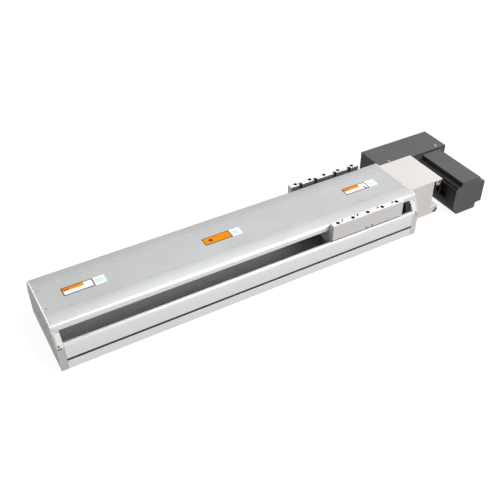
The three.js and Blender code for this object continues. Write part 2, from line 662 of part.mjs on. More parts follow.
add('drive_housing', driveHousing(), 'machined');
for (const { name, x, z } of EAR_SCREWS) {
  addScrew(name, [x, HOUSING.y0 + EAR_RECESS, z], [0, -1, 0], { ...M5, length: EAR_SCREW_LENGTH }, 'steel');
}
add('front_drive_bearing', bearing(GAP - BEARING.from - BEARING.width), 'steel');
add('rear_drive_bearing', bearing(BEARING.from - GAP), 'steel');

// Reducer: a second toothed belt from the motor to the drive shaft, on a plate and under a cover ----

const PLATE_SCREWS = [['left', 416.6], ['right', 547.4]];
const PLATE_SCREW_Y = 60;
const TAB = { half: 8, thickness: 6.8, root: 10 };
const MOTOR_BORE = 20;
const MOTOR_SCREW_OFFSET = 22;
const SHAFT_START = -BEARING.from - BEARING.width - 2;
const BELT_MARGIN = 1.5;         // how far the reducer pulleys stand out past the belt's edges

const MOTOR_SCREWS = [[1, 'upper'], [-1, 'lower']].flatMap(([up, height]) =>
  [[-1, 'left'], [1, 'right']].map(([across, hand]) => ({
    name: `${height}_${hand}_motor_screw`,
    x: MOTOR_X + across * MOTOR_SCREW_OFFSET,
    z: MOTOR_Z + up * MOTOR_SCREW_OFFSET,
  })));

function reducerPlate() {
  const { y0, y1, z1 } = REDUCER_PLATE;
  const roof = BELT_COVER.z1 - BELT_COVER_SKIN - GAP;
  const tabs = PLATE_SCREWS.map(([, x]) =>
    box(x - TAB.half, x + TAB.half, y1 - TAB.thickness, y1, z1 - TAB.root, roof));
  const tools = [
    barY(DRIVE_X, DRIVE_Z, SHAFT_RADIUS + 2, y0 - PAST, y1 + PAST, 20),
    barY(MOTOR_X, MOTOR_Z, MOTOR_BORE, y0 - PAST, y1 + PAST, 28),
    ...PLATE_SCREWS.map(([, x]) => barZ(x, PLATE_SCREW_Y, M4.shank + GAP, roof - 16, roof + PAST, 10)),
    ...MOTOR_SCREWS.map(({ x, z }) => barY(x, z, M5.shank + GAP, y0 - PAST, y1 + PAST, 10)),
  ];
  return cut(join(boxOf(REDUCER_PLATE), ...tabs), ...tools);
}

function beltCover() {
  const skin = BELT_COVER_SKIN;
  const { x0, x1, y0, y1, z0, z1 } = BELT_COVER;
  const inside = box(x0 + skin, x1 - skin, y0 - PAST, y1 - skin, z0 + skin, z1 - skin);
  const holes = PLATE_SCREWS.map(([, x]) => barZ(x, PLATE_SCREW_Y, M4.shank + GAP, z1 - 4, z1 + PAST, 10));
  return cut(boxOf(BELT_COVER), inside, ...holes);
}

add('drive_shaft', barY(DRIVE_X, DRIVE_Z, SHAFT_RADIUS, SHAFT_START, REDUCER_Y.to + 4, 24), 'steel');
add('reducer_plate', reducerPlate(), 'dark');
add('belt_cover', beltCover(), 'dark');
for (const [name, x] of PLATE_SCREWS) {
  addScrew(`${name}_belt_cover_screw`, [x, PLATE_SCREW_Y, BELT_COVER.z1], [0, 0, 1], M4, 'steel');
}
add('reducer_belt',
  belt(driveWheel, motorWheel, REDUCER_Y.from + BELT_MARGIN, REDUCER_Y.to - BELT_MARGIN), 'rubber');
add('reducer_pulley',
  pulley(driveWheel, DRIVE_TEETH, REDUCER_Y.from, REDUCER_Y.to, SHAFT_RADIUS + GAP), 'steel');
add('motor_pulley',
  pulley(motorWheel, MOTOR_TEETH, REDUCER_Y.from, REDUCER_Y.to, MOTOR_SHAFT_RADIUS + GAP), 'steel');

// Motor: a square body with stepped corners, held by four screws through the reducer plate ----------

const CONNECTOR = { y0: -53, y1: -19, z0: 33, z1: 65, depth: 9, round: 5 };
const SOCKET = { y0: -33, y1: -20.5, z0: 34.5, z1: 63.5, proud: 1.5, wall: 2, floor: 4 };
const SHAFT_HOLE = { clearance: 0.6, from: 38 };
const MOTOR_SHAFT_FROM = 40;
const MOTOR_THREAD = 9;          // how far a motor screw reaches into the motor

function motorOutline() {
  const { x0, x1, z0, z1 } = MOTOR;
  return [
    [x0, z0 + 18], [x0 + 12, z0], [x1 - 16.6, z0], [x1 - 15.8, z0 + 12.8], [x1, z0 + 13.4],
    [x1, z0 + 64.6], [x1 - 13, z0 + 69], [x1 - 16.6, z0 + 70], [x1 - 17, z1],
    [x0 + 15, z1], [x0 + 13, z0 + 69.4], [x0 + 4, z0 + 69.2], [x0 + 3.6, z0 + 65.2], [x0, z0 + 64.6],
  ];
}

function motorBody() {
  const { y0, y1, z0, z1, depth, round } = CONNECTOR;
  const floor = MOTOR.x0 + depth;
  const mouth = MOTOR.x0 - PAST;
  const back = MOTOR.y1 + PAST;
  const tools = [
    box(mouth, floor, y0 + round, y1, z0, z1),
    box(mouth, floor, y0, y1, z0 + round, z1 - round),
    barX(y0 + round, z0 + round, round, mouth, floor),
    barX(y0 + round, z1 - round, round, mouth, floor),
    barY(MOTOR_X, MOTOR_Z, MOTOR_SHAFT_RADIUS + SHAFT_HOLE.clearance, SHAFT_HOLE.from, back, 24),
    ...MOTOR_SCREWS.map(({ x, z }) => barY(x, z, M5.shank + GAP, MOTOR.y1 - MOTOR_THREAD - 1, back, 10)),
  ];
  return cut(extrudeY(motorOutline(), MOTOR.y0, MOTOR.y1), ...tools);
}

function motorConnector() {
  const { y0, y1, z0, z1, proud, wall, floor } = SOCKET;
  const front = MOTOR.x0 - proud;
  return cut(
    box(front, MOTOR.x0 + CONNECTOR.depth - GAP, y0, y1, z0, z1),
    box(front - PAST, MOTOR.x0 + floor, y0 + wall, y1 - wall, z0 + wall, z1 - wall));
}

add('motor_shaft',
  barY(MOTOR_X, MOTOR_Z, MOTOR_SHAFT_RADIUS, MOTOR_SHAFT_FROM, REDUCER_Y.to + 2, 24), 'steel');
add('motor_body', motorBody(), 'dark');
for (const { name, x, z } of MOTOR_SCREWS) {
  const length = REDUCER_PLATE.y1 - MOTOR.y1 + MOTOR_THREAD;
  addScrew(name, [x, REDUCER_PLATE.y1, z], [0, 1, 0], { ...M5, length }, 'steel');
}
add('motor_connector', motorConnector(), 'socket');

export default group;
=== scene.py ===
# Looks for the belt-driven linear module: finishes, softened edges, fine screws and blank labels.
# Blender 4.5, metres, in the CAD's own frame: +X runs towards the drive end, and +Z is up.

import json
import math

import bmesh
import bpy
from mathutils import Matrix, Quaternion, Vector

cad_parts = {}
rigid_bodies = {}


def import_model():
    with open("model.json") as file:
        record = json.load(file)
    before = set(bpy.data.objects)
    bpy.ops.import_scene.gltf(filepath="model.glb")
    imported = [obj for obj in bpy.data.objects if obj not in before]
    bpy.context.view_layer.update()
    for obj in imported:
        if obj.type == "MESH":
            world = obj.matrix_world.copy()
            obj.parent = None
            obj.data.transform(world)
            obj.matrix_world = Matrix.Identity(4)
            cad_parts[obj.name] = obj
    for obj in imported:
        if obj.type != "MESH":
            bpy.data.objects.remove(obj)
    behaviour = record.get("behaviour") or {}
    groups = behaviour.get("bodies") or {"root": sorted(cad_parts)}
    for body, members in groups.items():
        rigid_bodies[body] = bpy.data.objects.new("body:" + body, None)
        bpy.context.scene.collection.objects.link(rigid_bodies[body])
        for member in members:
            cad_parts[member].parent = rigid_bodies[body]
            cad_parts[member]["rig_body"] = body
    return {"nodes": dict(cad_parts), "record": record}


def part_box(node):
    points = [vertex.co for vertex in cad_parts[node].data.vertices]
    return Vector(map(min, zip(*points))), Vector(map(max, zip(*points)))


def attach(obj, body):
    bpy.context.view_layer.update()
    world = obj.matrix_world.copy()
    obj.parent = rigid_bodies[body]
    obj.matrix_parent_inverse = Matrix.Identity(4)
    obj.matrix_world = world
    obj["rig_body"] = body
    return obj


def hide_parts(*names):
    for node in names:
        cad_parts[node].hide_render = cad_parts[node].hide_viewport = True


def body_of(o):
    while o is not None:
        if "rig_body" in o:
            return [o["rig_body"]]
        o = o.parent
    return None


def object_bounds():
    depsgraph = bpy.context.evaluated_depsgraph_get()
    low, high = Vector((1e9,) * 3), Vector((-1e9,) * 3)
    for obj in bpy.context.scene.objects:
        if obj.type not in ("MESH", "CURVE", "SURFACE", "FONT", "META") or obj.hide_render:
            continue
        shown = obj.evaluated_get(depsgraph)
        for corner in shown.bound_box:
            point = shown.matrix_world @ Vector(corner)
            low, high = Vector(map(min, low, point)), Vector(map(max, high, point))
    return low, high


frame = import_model()
cad_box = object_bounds()
nodes = frame["nodes"]

MM = 0.001

# Finishes ---------------------------------------------------------------------------------------


def noise(tree, where, scale, detail, stretch=(1, 1, 1)):
    """Noise at so many features a metre; stretch squeezes it along each axis."""
    mapping = tree.nodes.new("ShaderNodeMapping")
    mapping.inputs["Scale"].default_value = stretch
    texture = tree.nodes.new("ShaderNodeTexNoise")
    texture.inputs["Scale"].default_value = scale
    texture.inputs["Detail"].default_value = detail
    tree.links.new(where, mapping.inputs["Vector"])
    tree.links.new(mapping.outputs["Vector"], texture.inputs["Vector"])
    return texture.outputs["Fac"]


def between(tree, value, low, high):
    """Low to high as a noise value goes from its usual lowest to its usual highest."""
    node = tree.nodes.new("ShaderNodeMapRange")
    node.inputs["From Min"].default_value = 0.3
    node.inputs["From Max"].default_value = 0.7
    node.inputs["To Min"].default_value = low
    node.inputs["To Max"].default_value = high
    tree.links.new(value, node.inputs["Value"])
    return node.outputs["Result"]


def tinted(tree, value, colour, contrast):
    """The colour, a little darker where the value is low and a little lighter where it is high."""
    ramp = tree.nodes.new("ShaderNodeValToRGB")
    for stop, place, factor in zip(ramp.color_ramp.elements, (0.3, 0.7), (1 - contrast, 1 + contrast)):
        stop.position = place
        stop.color = [min(1.0, c * factor) for c in colour] + [1.0]
    tree.links.new(value, ramp.inputs["Fac"])
    return ramp.outputs["Color"]


def finish(name, colour, rough, metallic=0.0, grain=900, stretch=(1, 1, 1), depth=0.02, contrast=0.05,
           gloss=0.5):
    """A material whose grain colours it and marks its surface to a depth in mm, over faint clouding."""
    made = bpy.data.materials.new(name)
    made.use_nodes = True
    tree = made.node_tree
    shader = tree.nodes["Principled BSDF"]
    shader.inputs["Metallic"].default_value = metallic
    shader.inputs["Specular IOR Level"].default_value = gloss
    where = tree.nodes.new("ShaderNodeTexCoord").outputs["Object"]
    fine = noise(tree, where, grain, 3, stretch)
    clouds = noise(tree, where, 14, 3)
    both = tree.nodes.new("ShaderNodeMath")
    both.operation = "MULTIPLY_ADD"
    both.inputs[1].default_value = 0.5
    half = tree.nodes.new("ShaderNodeMath")
    half.operation = "MULTIPLY"
    half.inputs[1].default_value = 0.5
    tree.links.new(clouds, half.inputs[0])
    tree.links.new(fine, both.inputs[0])
    tree.links.new(half.outputs[0], both.inputs[2])
    tree.links.new(tinted(tree, both.outputs[0], colour, contrast), shader.inputs["Base Color"])
    tree.links.new(between(tree, both.outputs[0], rough - 0.05, rough + 0.07), shader.inputs["Roughness"])
    bump = tree.nodes.new("ShaderNodeBump")
    bump.inputs["Strength"].default_value = 0.5
    bump.inputs["Distance"].default_value = depth * MM
    tree.links.new(fine, bump.inputs["Height"])
    tree.links.new(bump.outputs["Normal"], shader.inputs["Normal"])
    return made


DRAWN = (0.01, 1, 1)      # long fine lines along X, as an extrusion die leaves
MILLED = (0.5, 1, 1)
SAWN = (1, 1, 0.04)       # lines up an end face
TURNED = (1, 0.05, 1)     # lines along a shaft on the Y axis

LOOKS = {
    "anodised_aluminium": finish("anodised", (0.72, 0.74, 0.735), 0.4, 0.5, 1400, DRAWN, 0.012, 0.03),
    "machined_aluminium": finish("machined", (0.76, 0.71, 0.68), 0.5, 0.15, 1600, MILLED, 0.012, 0.03),
    "brushed_aluminium": finish("brushed", (0.66, 0.64, 0.63), 0.5, 0.2, 900, SAWN, 0.02, 0.14),
    "cream_plastic": finish("cream", (0.90, 0.87, 0.80), 0.45, 0.0, 1800, depth=0.008, contrast=0.03),
    "dark_painted_metal": finish(
        "dark_paint", (0.125, 0.125, 0.125), 0.5, 0.0, 2200, depth=0.02, contrast=0.08, gloss=0.15),
    "connector_plastic": finish(
        "socket", (0.022, 0.018, 0.013), 0.55, 0.0, 1800, depth=0.01, contrast=0.12),
    "bright_steel": finish("steel", (0.55, 0.56, 0.58), 0.24, 0.9, 900, TURNED, 0.006, 0.05),
    "zinc_screw": finish("zinc", (0.72, 0.72, 0.74), 0.24, 0.8, 2600, depth=0.01, contrast=0.08),
    "black_screw": finish("black_oxide", (0.03, 0.03, 0.033), 0.36, 0.5, 2600, depth=0.01, contrast=0.15),
    "black_rubber": finish("rubber", (0.022, 0.022, 0.022), 0.75, 0.0, 1500, depth=0.03, contrast=0.15),
}


def inside(tree, where, low, high):
    """1 within a box between two corners in mm, and 0 outside it."""
    low, high = Vector(low) * MM, Vector(high) * MM
    offset = tree.nodes.new("ShaderNodeVectorMath")
    offset.operation = "SUBTRACT"
    offset.inputs[1].default_value = (low + high) / 2
    size = tree.nodes.new("ShaderNodeVectorMath")
    size.operation = "ABSOLUTE"
    shares = tree.nodes.new("ShaderNodeVectorMath")
    shares.operation = "DIVIDE"
    shares.inputs[1].default_value = (high - low) / 2
    parts = tree.nodes.new("ShaderNodeSeparateXYZ")
    tree.links.new(where, offset.inputs[0])
    tree.links.new(offset.outputs["Vector"], size.inputs[0])
    tree.links.new(size.outputs["Vector"], shares.inputs[0])
    tree.links.new(shares.outputs["Vector"], parts.inputs["Vector"])
    largest = parts.outputs["X"]
    for other in (parts.outputs["Y"], parts.outputs["Z"]):
        greater = tree.nodes.new("ShaderNodeMath")
        greater.operation = "MAXIMUM"
        tree.links.new(largest, greater.inputs[0])
        tree.links.new(other, greater.inputs[1])
        largest = greater.outputs[0]
    test = tree.nodes.new("ShaderNodeMath")
    test.operation = "LESS_THAN"
    test.inputs[1].default_value = 1
    tree.links.new(largest, test.inputs[0])
    return test.outputs[0]


def patched(material, patches):
    """Paints light or shade onto a finish, multiplying its colour by a factor within boxes: (low corner,
    high corner, factor), in mm.
    """
    tree = material.node_tree
    shader = tree.nodes["Principled BSDF"]
    where = tree.nodes.new("ShaderNodeTexCoord").outputs["Object"]
    base = shader.inputs["Base Color"].links[0].from_socket
    for low, high, factor in patches:
        mix = tree.nodes.new("ShaderNodeMix")
        mix.data_type = "RGBA"
        mix.blend_type = "MULTIPLY"
        mix.inputs[7].default_value = (factor, factor, factor, 1)
        tree.links.new(inside(tree, where, low, high), mix.inputs[0])
        tree.links.new(base, mix.inputs[6])
        base = mix.outputs[2]
    tree.links.new(base, shader.inputs["Base Color"])
    return material


def in_mm(name):
    """The low and high corners of a CAD node, in mm."""
    return [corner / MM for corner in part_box(name)]


# Painted light and shade, chosen for looks: the same finish, lighter or darker in some places of one piece
# where light falls or shade lies. They don't stand for a known difference in the surface.
PAST = 1                  # how far a box reaches past the piece, in mm

BODY_START, BODY_STOP = in_mm("base_extrusion")
# Painted light: the inside of the base's channel is made brighter than the rest of its finish.
CHANNEL_HALF = 50
CHANNEL_FLOOR = 0.5
CHANNEL_TOP = 30
CHANNEL_PAINTED_LIGHT = 1.35
# Painted shade: the insides of the two T-slots in the base's sides are darkened.
T_SLOT_BOTTOM = 16
T_SLOT_TOP = 27
T_SLOT_MOUTH = 0.3
T_SLOT_DEPTH = 8
T_SLOT_PAINTED_SHADE = 0.35
BASE = patched(finish("base", (0.72, 0.74, 0.735), 0.4, 0.5, 1400, DRAWN, 0.012, 0.03), [
    ((BODY_START.x - PAST, -CHANNEL_HALF, CHANNEL_FLOOR),
     (BODY_STOP.x + PAST, CHANNEL_HALF, CHANNEL_TOP), CHANNEL_PAINTED_LIGHT),
    ((BODY_START.x - PAST, BODY_START.y + T_SLOT_MOUTH, T_SLOT_BOTTOM),
     (BODY_STOP.x + PAST, BODY_START.y + T_SLOT_DEPTH, T_SLOT_TOP), T_SLOT_PAINTED_SHADE),
    ((BODY_START.x - PAST, BODY_STOP.y - T_SLOT_DEPTH, T_SLOT_BOTTOM),
     (BODY_STOP.x + PAST, BODY_STOP.y - T_SLOT_MOUTH, T_SLOT_TOP), T_SLOT_PAINTED_SHADE),
])

WING_START, WING_STOP = in_mm("rear_wing")
WING_REACH = 90
WING_SKIN = 5.4
WING_END = 0.3
TOP_LIP = 0.5
# Painted shade on the wings below their top face, which stays lighter as a painted highlight.
WING_SIDE_PAINTED_SHADE = 0.82
WING_INNER_PAINTED_SHADE = 0.13
# The wing finish is lighter than the machined one, a painted highlight on the wings' tops.
WING = patched(finish("wing", (0.93, 0.90, 0.88), 0.46, 0.15, 1600, MILLED, 0.012, 0.03), [
    ((WING_START.x - PAST, -WING_REACH, 0),
     (WING_STOP.x + PAST, WING_REACH, WING_STOP.z - TOP_LIP), WING_SIDE_PAINTED_SHADE),
    # Painted shade on the wings' inner faces.
    ((WING_START.x + WING_END, WING_SKIN - WING_STOP.y, 0),
     (WING_STOP.x - WING_END, WING_STOP.y - WING_SKIN, WING_STOP.z - TOP_LIP), WING_INNER_PAINTED_SHADE),
])

CAP_START = in_mm("idler_end_cap")[0]
CAP_STOP = in_mm("drive_end_cap")[1]
CAP_FACE = 0.3
CAP_HALF = 75
CAP_LOW = 79
CAP_HIGH = 95
# Painted highlight: both end caps are lighter along their top, from 79 to 95 mm up.
CAP_TOP = [
    Vector((CAP_START.x + CAP_FACE, -CAP_HALF, CAP_LOW)),
    Vector((CAP_STOP.x - CAP_FACE, CAP_HALF, CAP_HIGH)),
]
IDLER_CAP_PAINTED_HIGHLIGHT = 1.45
DRIVE_CAP_PAINTED_HIGHLIGHT = 1.28
IDLER_CAP = patched(
    finish("sawn", (0.64, 0.62, 0.61), 0.5, 0.1, 900, SAWN, 0.02, 0.14), [(*CAP_TOP, IDLER_CAP_PAINTED_HIGHLIGHT)])
DRIVE_CAP = patched(
    finish("cap", (0.76, 0.71, 0.68), 0.5, 0.15, 1600, MILLED, 0.012, 0.03), [(*CAP_TOP, DRIVE_CAP_PAINTED_HIGHLIGHT)])

HOUSE_START, HOUSE_STOP = in_mm("drive_housing")
# Painted shade in the recess of the housing's lower screw ear.
EAR_FOOT = 9
EAR_HEAD = 22.5
EAR_WIDTH = 15
EAR_DEPTH = 7
EAR_FACE = 0.4
EAR_END = 1
EAR_PAINTED_SHADE = 0.08
# Painted shade in the relief at the housing's front right corner.
RELIEF_REACH = 22
RELIEF_FACE = 0.8
RELIEF_START = EAR_HEAD + 2.8
RELIEF_TOP = 90.8
RELIEF_PAINTED_SHADE = 0.1
HOUSING = patched(finish("housing", (0.78, 0.74, 0.71), 0.5, 0.15, 1600, MILLED, 0.012, 0.03), [
    ((HOUSE_STOP.x - RELIEF_REACH, HOUSE_START.y + RELIEF_FACE, RELIEF_START),
     (HOUSE_STOP.x + PAST, HOUSE_START.y + RELIEF_REACH, RELIEF_TOP), RELIEF_PAINTED_SHADE),
    ((HOUSE_STOP.x - EAR_WIDTH, HOUSE_START.y + EAR_FACE, EAR_FOOT),
     (HOUSE_STOP.x - EAR_END, HOUSE_START.y + EAR_DEPTH, EAR_HEAD), EAR_PAINTED_SHADE),
])

MOTOR_START, MOTOR_STOP = in_mm("motor_body")
# Painted shade on the motor's side towards the idler end, over its first 14.6 mm.
MOTOR_SIDE = 14.6
MOTOR_FACE = 1
MOTOR_SIDE_TOP = 90
MOTOR_SIDE_PAINTED_SHADE = 0.25
MOTOR = patched(
    finish("motor_paint", (0.125, 0.125, 0.125), 0.5, 0.0, 2200, depth=0.02, contrast=0.08, gloss=0.15), [
        ((MOTOR_START.x - PAST, MOTOR_START.y + MOTOR_FACE, 0),
         (MOTOR_START.x + MOTOR_SIDE, MOTOR_STOP.y + PAST, MOTOR_SIDE_TOP), MOTOR_SIDE_PAINTED_SHADE),
    ])
OWN_FINISH = {
    "base_extrusion": BASE, "front_wing": WING, "rear_wing": WING, "idler_end_cap": IDLER_CAP,
    "drive_end_cap": DRIVE_CAP, "drive_housing": HOUSING, "motor_body": MOTOR,
}

# Painted shade: a near-black finish for the linings that stand in for the shade down the wings' holes.
HOLE_SHADE_LINING = finish(
    "hole_shade_lining", (0.02, 0.02, 0.02), 0.6, grain=1500, depth=0.01, contrast=0.2, gloss=0.1)
LABEL_BORDER = finish("label_border", (0.035, 0.03, 0.03), 0.45, grain=1200, depth=0.004, contrast=0.1)
LABEL_ORANGE = finish(
    "label_orange", (0.88, 0.28, 0.001), 0.6, grain=1200, depth=0.004, contrast=0.06, gloss=0.1)
LABEL_DEEP = finish("label_deep_orange", (0.36, 0.11, 0.004), 0.5, grain=1200, depth=0.004, contrast=0.06)
LABEL_BROWN = finish("label_brown_edge", (0.16, 0.06, 0.008), 0.5, grain=1200, depth=0.004, contrast=0.08)
LABEL_WHITE = finish("label_white", (0.96, 0.96, 0.95), 0.4, grain=1200, depth=0.004, contrast=0.02)
LABEL_BLUE = finish("label_pale_blue", (0.66, 0.86, 0.92), 0.4, grain=1200, depth=0.004, contrast=0.03)

SLOT_OF = {part["node"]: part["material_slot"] for part in frame["record"]["subparts"]}
for name, slot in SLOT_OF.items():
    nodes[name].data.materials.clear()
    nodes[name].data.materials.append(OWN_FINISH.get(name, LOOKS[slot]))

# Softened edges on the CAD nodes ------------------------------------------------------------------


EDGES = {                 # widths of the rounded edges, in mm
    "drive_housing": 0.6, "motor_body": 1.0, "belt_cover": 0.8, "front_wing": 0.4, "rear_wing": 0.4,
    "top_cover": 0.12,
}
USUAL_EDGE = 0.25
SHARP = math.radians(40)
FLAT = math.radians(1)


def smooth_group():
    """A node group that shades a mesh smooth except across edges sharper than 40 degrees."""
    tree = bpy.data.node_groups.new("shade_by_angle", "GeometryNodeTree")
    tree.interface.new_socket("Geometry", in_out="INPUT", socket_type="NodeSocketGeometry")
    tree.interface.new_socket("Geometry", in_out="OUTPUT", socket_type="NodeSocketGeometry")
    start = tree.nodes.new("NodeGroupInput")
    faces = tree.nodes.new("GeometryNodeSetShadeSmooth")
    edges = tree.nodes.new("GeometryNodeSetShadeSmooth")
    edges.domain = "EDGE"
    angle = tree.nodes.new("GeometryNodeInputMeshEdgeAngle")
    gentle = tree.nodes.new("FunctionNodeCompare")
    gentle.operation = "LESS_THAN"
    gentle.inputs["B"].default_value = SHARP
    end = tree.nodes.new("NodeGroupOutput")
    tree.links.new(start.outputs[0], faces.inputs["Geometry"])
    tree.links.new(faces.outputs[0], edges.inputs["Geometry"])
    tree.links.new(angle.outputs["Unsigned Angle"], gentle.inputs["A"])
    tree.links.new(gentle.outputs[0], edges.inputs["Shade Smooth"])
    tree.links.new(edges.outputs[0], end.inputs[0])
    return tree


SHADING = smooth_group()


def soften(node, width):
    """Rounds a CAD node's edges to a width in mm, by modifiers alone."""
    weld = node.modifiers.new("weld", "WELD")
    weld.merge_threshold = 0.001 * MM
    flat = node.modifiers.new("flat", "DECIMATE")
    flat.decimate_type = "DISSOLVE"
    flat.angle_limit = FLAT
    bevel = node.modifiers.new("bevel", "BEVEL")
    bevel.width = width * MM
    bevel.segments = 2
    bevel.limit_method = "ANGLE"
    bevel.angle_limit = SHARP
    shade = node.modifiers.new("shade", "NODES")
    shade.node_group = SHADING
    even = node.modifiers.new("even", "WEIGHTED_NORMAL")
    even.keep_sharp = True


SCREW_SLOTS = ("zinc_screw", "black_screw")
SCREW_NODES = [name for name, slot in SLOT_OF.items() if slot in SCREW_SLOTS]
for name, node in nodes.items():
    if name not in SCREW_NODES:
        soften(node, EDGES.get(name, USUAL_EDGE))

# New pieces ---------------------------------------------------------------------------------------

PIECE_SHARP = math.radians(35)     # steeper edges than this stay sharp on a new piece


def piece(name, bm, materials, body):
    """The bmesh as an object that rides on a CAD body."""
    mesh = bpy.data.meshes.new(name)
    bm.to_mesh(mesh)
    bm.free()
    mesh.shade_smooth()
    mesh.set_sharp_from_angle(angle=PIECE_SHARP)
    for material in materials:
        mesh.materials.append(material)
    made = bpy.data.objects.new(name, mesh)
    bpy.context.scene.collection.objects.link(made)
    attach(made, body)
    return made


ROUND_STEPS = 24
SOCKET_SIDES = 6
CHAMFER_SHARE = 0.12      # of the head's radius
TIP_SHARE = 0.6           # of the shank's radius, at the screw's end
TIP_LENGTH = 0.4          # of the shank's radius
MOUTH_SHARE = 1.12        # of the socket's radius
MOUTH_DROP = 0.1
SOCKET_DEPTH = 0.5        # of the head's height

# Head radius, head height, shank radius and socket width across corners, in mm, as in the CAD.
M2 = (1.5, 0.9, 0.9, 1.7)
M2_5 = (2.2, 1.6, 1.2, 2.4)
M4 = (3.5, 1.8, 1.9, 3.6)
M5 = (4.2, 4.4, 2.4, 4.6)


def ring(bm, radius, height, turn, steps):
    """A circle of points square to the turned Z axis, at a height along it, in mm."""
    return [
        bm.verts.new(turn @ Vector((
            radius * MM * math.cos(2 * math.pi * i / steps),
            radius * MM * math.sin(2 * math.pi * i / steps),
            height * MM,
        )))
        for i in range(steps)
    ]


def bridge(bm, lower, upper):
    """Faces between two rings with the same number of points."""
    count = len(upper)
    for i in range(count):
        bm.faces.new((lower[i], lower[(i + 1) % count], upper[(i + 1) % count], upper[i]))


def socket_screw(name, seat, out, length, size, slot, body, stands_for=None):
    """A screw with a chamfered head and a six-sided socket, its seat at a point and its head facing out."""
    head, height, shank, socket = size
    turn = Matrix.Translation(seat) @ out.to_track_quat("Z", "Y").to_matrix().to_4x4()
    bm = bmesh.new()
    chamfer = head * CHAMFER_SHARE
    profile = [
        (shank * TIP_SHARE, -length), (shank, -length + shank * TIP_LENGTH), (shank, 0), (head, 0),
        (head, height - chamfer), (head - chamfer, height), (socket / 2 * MOUTH_SHARE, height),
    ]
    rings = [ring(bm, radius, level, turn, ROUND_STEPS) for radius, level in profile]
    bm.faces.new(list(reversed(rings[0])))
    for lower, upper in zip(rings, rings[1:]):
        bridge(bm, lower, upper)
    mouth = ring(bm, socket / 2, height - MOUTH_DROP, turn, ROUND_STEPS)
    side_steps = ROUND_STEPS // SOCKET_SIDES
    for i, vert in enumerate(mouth):
        share = (i % side_steps) / side_steps - 0.5
        flat = math.cos(math.pi / SOCKET_SIDES) / math.cos(share * 2 * math.pi / SOCKET_SIDES)
        local = turn.inverted() @ vert.co
        vert.co = turn @ Vector((local.x * flat, local.y * flat, local.z))
    floor = [bm.verts.new(vert.co - out * height * SOCKET_DEPTH * MM) for vert in mouth]
    bridge(bm, rings[-1], mouth)
    bridge(bm, mouth, floor)
    bm.faces.new(floor)
    made = piece(name, bm, [LOOKS[slot]], body)
    if stands_for:
        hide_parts(stands_for)


UP = Vector((0, 0, 1))
SHOULDER_OUT = Vector((0, -0.8965, 0.443))   # square to the front shoulder
SCREW_KINDS = [                              # part of a node's name, size, and the way its head faces
    ("_wing_screw_", M5, UP),
    ("_belt_cover_screw", M4, UP),
    ("_cover_screw", M2_5, UP),
    ("_housing_screw", M5, Vector((0, -1, 0))),
    ("_motor_screw", M5, Vector((0, 1, 0))),
    ("_tension_screw", M5, Vector((-1, 0, 0))),
    ("_slot_plate_screw", M2, SHOULDER_OUT),
]


def along(node, direction):
    """The lowest and highest reach of a node along a direction, in metres."""
    reach = [vert.co.dot(direction) for vert in node.data.vertices]
    return min(reach), max(reach)


for name in SCREW_NODES:
    size, out = next(kind[1:] for kind in SCREW_KINDS if kind[0] in name)
    node = nodes[name]
    low, high = along(node, out)
    middle = sum((vert.co for vert in node.data.vertices), Vector()) / len(node.data.vertices)
    seat = middle + out * (high - size[1] * MM - middle.dot(out))
    length = (high - low) / MM - size[1]
    socket_screw(f"fine_{name}", seat, out, length, size, SLOT_OF[name], body_of(node)[0], name)

# The rear slot plates have the same screws as the front ones.
for end in ("idler", "drive"):
    twin = bpy.data.objects[f"fine_front_{end}_slot_plate_screw"].data.copy()
    bm = bmesh.new()
    bm.from_mesh(twin)
    bmesh.ops.transform(bm, matrix=Matrix.Scale(-1, 4, Vector((0, 1, 0))), verts=bm.verts)
    bmesh.ops.reverse_faces(bm, faces=bm.faces)
    bpy.data.meshes.remove(twin)
    piece(f"fine_rear_{end}_slot_plate_screw", bm, [LOOKS["black_screw"]], "frame")

# Near-black linings in the wings' holes, as painted shade, moving with the carriage: ridged for the
# threads, plain for the dowels --

HOLE_PITCH = 35.6
HOLE_Y = 77
THREAD = {"outer": 3.32, "root": 3.2, "crest": 2.8, "pitch": 1, "depth": 17, "flare": 0.66}
DOWEL = {"outer": 1.92, "root": 1.7, "crest": 1.7, "pitch": 1, "depth": 2, "flare": 0}
DOWEL_OFFSETS = (-4, 10)
DOWEL_Z = 65
LINING_START = 0.05       # below the face that a hole opens on


def lining(name, place, out, size):
    """A tube in a hole that opens at a place, in mm, facing out, its mouth following the countersink."""
    turn = Matrix.Translation(Vector(place) * MM) @ out.to_track_quat("Z", "Y").to_matrix().to_4x4()
    flare = size["flare"]
    neck = -LINING_START - flare
    bottom = neck - size["depth"]
    profile = [(size["outer"], bottom), (size["outer"], neck)]
    if flare:
        profile += [(size["outer"] + flare, -LINING_START), (size["root"] + flare, -LINING_START)]
    for n in range(size["depth"] // size["pitch"]):
        level = neck - n * size["pitch"]
        profile += [(size["root"], level), (size["crest"], level - size["pitch"] / 2)]
    profile.append((size["root"], bottom))
    bm = bmesh.new()
    rings = [ring(bm, radius, level, turn, ROUND_STEPS) for radius, level in profile]
    for lower, upper in zip(rings, rings[1:] + rings[:1]):
        bridge(bm, lower, upper)
    bmesh.ops.recalc_face_normals(bm, faces=bm.faces)
    piece(name, bm, [HOLE_SHADE_LINING], "carriage")


WING_MIDDLE = (WING_START.x + WING_STOP.x) / 2
for side, sign in (("front", -1), ("rear", 1)):
    for n in range(-2, 3):
        place = (WING_MIDDLE + n * HOLE_PITCH, sign * HOLE_Y, WING_STOP.z)
        lining(f"{side}_wing_thread_{n + 3}", place, UP, THREAD)
    for n, offset in enumerate(DOWEL_OFFSETS):
        place = (WING_MIDDLE + offset, sign * WING_STOP.y, DOWEL_Z)
        lining(f"{side}_wing_dowel_hole_{n + 1}", place, Vector((0, sign, 0)), DOWEL)

